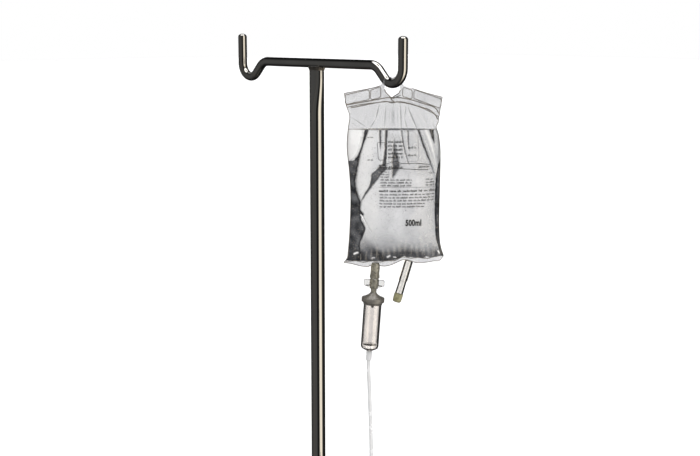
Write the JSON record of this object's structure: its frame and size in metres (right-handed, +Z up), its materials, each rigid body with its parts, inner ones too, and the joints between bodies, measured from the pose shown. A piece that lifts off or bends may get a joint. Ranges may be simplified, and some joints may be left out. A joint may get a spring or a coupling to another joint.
{
  "type": "infusion stand",
  "caption": "Telescopic infusion stand on casters, with a bent double-hook crossbar and a fluid bag, drip chamber and tied tubing hanging from one hook.",
  "frame": {"origin": "on the floor under the mast axis", "axes": "+Z up along the mast; the crossbar runs along X and the bag hangs from the +X hook"},
  "size_m": [0.4626, 0.4626, 1.7972],
  "materials": {
    "polished_tube": "polished",
    "plain_steel": "satin",
    "cast_hub": "satin",
    "dark_plastic": "fine grain",
    "tyre": "matt",
    "nylon": "matt",
    "brass_insert": "plain",
    "bag_film": "clear, softly wrinkled",
    "header_film": "clear, welded",
    "port_plastic": "translucent",
    "port_plug": "matt",
    "spike_plastic": "translucent",
    "clear_plastic": "clear",
    "tubing": "clear",
    "white_plastic": "smooth",
    "blue_plastic": "smooth"
  },
  "bodies": {
    "base": {"base_hub": "cast_hub", "hub_cover": "dark_plastic", "hub_screw": "plain_steel", "tube_plug": "plain_steel", "leg_1": "polished_tube", "leg_2": "polished_tube", "leg_3": "polished_tube", "leg_4": "polished_tube", "outer_tube": "polished_tube", "collar": "dark_plastic", "collar_bush": "nylon", "threaded_insert": "brass_insert"},
    "guide": {"guide_plug": "nylon"},
    "mast": {"inner_tube": "polished_tube", "top_weld": "plain_steel", "crossbar": "polished_tube"},
    "pad": {"clamp_pad": "nylon"},
    "knob": {"clamp_stud": "plain_steel", "clamp_knob": "dark_plastic"},
    "bag": {"bag_pouch": "bag_film", "bag_header": "header_film", "infusion_port": "port_plastic", "injection_port": "port_plastic", "injection_plug": "port_plug", "spike": "spike_plastic", "chamber_cap": "spike_plastic", "drip_nozzle": "clear_plastic", "drip_chamber": "clear_plastic", "chamber_filter": "nylon", "outlet_sleeve": "clear_plastic", "tubing_drop": "tubing", "tubing_hank": "tubing", "hank_tie": "white_plastic", "roller_clamp": "white_plastic", "luer_connector": "clear_plastic"},
    "roller": {"clamp_roller": "blue_plastic"},
    "cap": {"luer_cap": "white_plastic"},
    "caster_1": {"caster_fork_1": "plain_steel", "axle_1": "plain_steel"},
    "wheel_1": {"wheel_core_1": "dark_plastic", "tyre_1": "tyre"},
    "caster_2": {"caster_fork_2": "plain_steel", "axle_2": "plain_steel"},
    "wheel_2": {"wheel_core_2": "dark_plastic", "tyre_2": "tyre"},
    "caster_3": {"caster_fork_3": "plain_steel", "axle_3": "plain_steel"},
    "wheel_3": {"wheel_core_3": "dark_plastic", "tyre_3": "tyre"},
    "caster_4": {"caster_fork_4": "plain_steel", "axle_4": "plain_steel"},
    "wheel_4": {"wheel_core_4": "dark_plastic", "tyre_4": "tyre"}
  },
  "joints": [
    {"name": "mast_height", "type": "slide", "parent": "base", "child": "guide", "axis": [0, 0, 1], "range_m": [-0.4, 0.33]},
    {"name": "mast_turn", "type": "hinge", "parent": "guide", "child": "mast", "pos_m": [0, 0, 0.56], "axis": [0, 0, 1], "continuous": true},
    {"name": "clamp_travel", "type": "slide", "parent": "base", "child": "pad", "axis": [0, -1, 0], "range_m": [0, 0.0015]},
    {"name": "knob_turn", "type": "hinge", "parent": "pad", "child": "knob", "pos_m": [0, -0.045, 1.048], "axis": [0, -1, 0], "range_deg": [0, 360]},
    {"name": "bag_swing", "type": "hinge", "parent": "mast", "child": "bag", "pos_m": [0.14097, 0, 1.73872], "axis": [1, 0, 0], "range_deg": [-20, 20]},
    {"name": "roller_slide", "type": "slide", "parent": "bag", "child": "roller", "axis": [0, 0, 1], "range_m": [-0.038, 0]},
    {"name": "cap_pull", "type": "slide", "parent": "bag", "child": "cap", "axis": [0, 0, -1], "range_m": [0, 0.015]},
    {"name": "caster_swivel_1", "type": "hinge", "parent": "base", "child": "caster_1", "pos_m": [0.20506, 0.20506, 0.09], "axis": [0, 0, 1], "continuous": true},
    {"name": "wheel_spin_1", "type": "hinge", "parent": "caster_1", "child": "wheel_1", "pos_m": [0.18439, 0.21258, 0.03], "axis": [-0.342, -0.9397, 0], "continuous": true},
    {"name": "caster_swivel_2", "type": "hinge", "parent": "base", "child": "caster_2", "pos_m": [-0.20506, 0.20506, 0.09], "axis": [0, 0, 1], "continuous": true},
    {"name": "wheel_spin_2", "type": "hinge", "parent": "caster_2", "child": "wheel_2", "pos_m": [-0.21258, 0.18439, 0.03], "axis": [0.9397, -0.342, 0], "continuous": true},
    {"name": "caster_swivel_3", "type": "hinge", "parent": "base", "child": "caster_3", "pos_m": [-0.20506, -0.20506, 0.09], "axis": [0, 0, 1], "continuous": true},
    {"name": "wheel_spin_3", "type": "hinge", "parent": "caster_3", "child": "wheel_3", "pos_m": [-0.18439, -0.21258, 0.03], "axis": [0.342, 0.9397, 0], "continuous": true},
    {"name": "caster_swivel_4", "type": "hinge", "parent": "base", "child": "caster_4", "pos_m": [0.20506, -0.20506, 0.09], "axis": [0, 0, 1], "continuous": true},
    {"name": "wheel_spin_4", "type": "hinge", "parent": "caster_4", "child": "wheel_4", "pos_m": [0.21258, -0.18439, 0.03], "axis": [-0.9397, 0.342, 0], "continuous": true}
  ],
  "couplings": [
    {"joint": "clamp_travel", "follows": "knob_turn", "m_per_rad": 0.00023873}
  ]
}
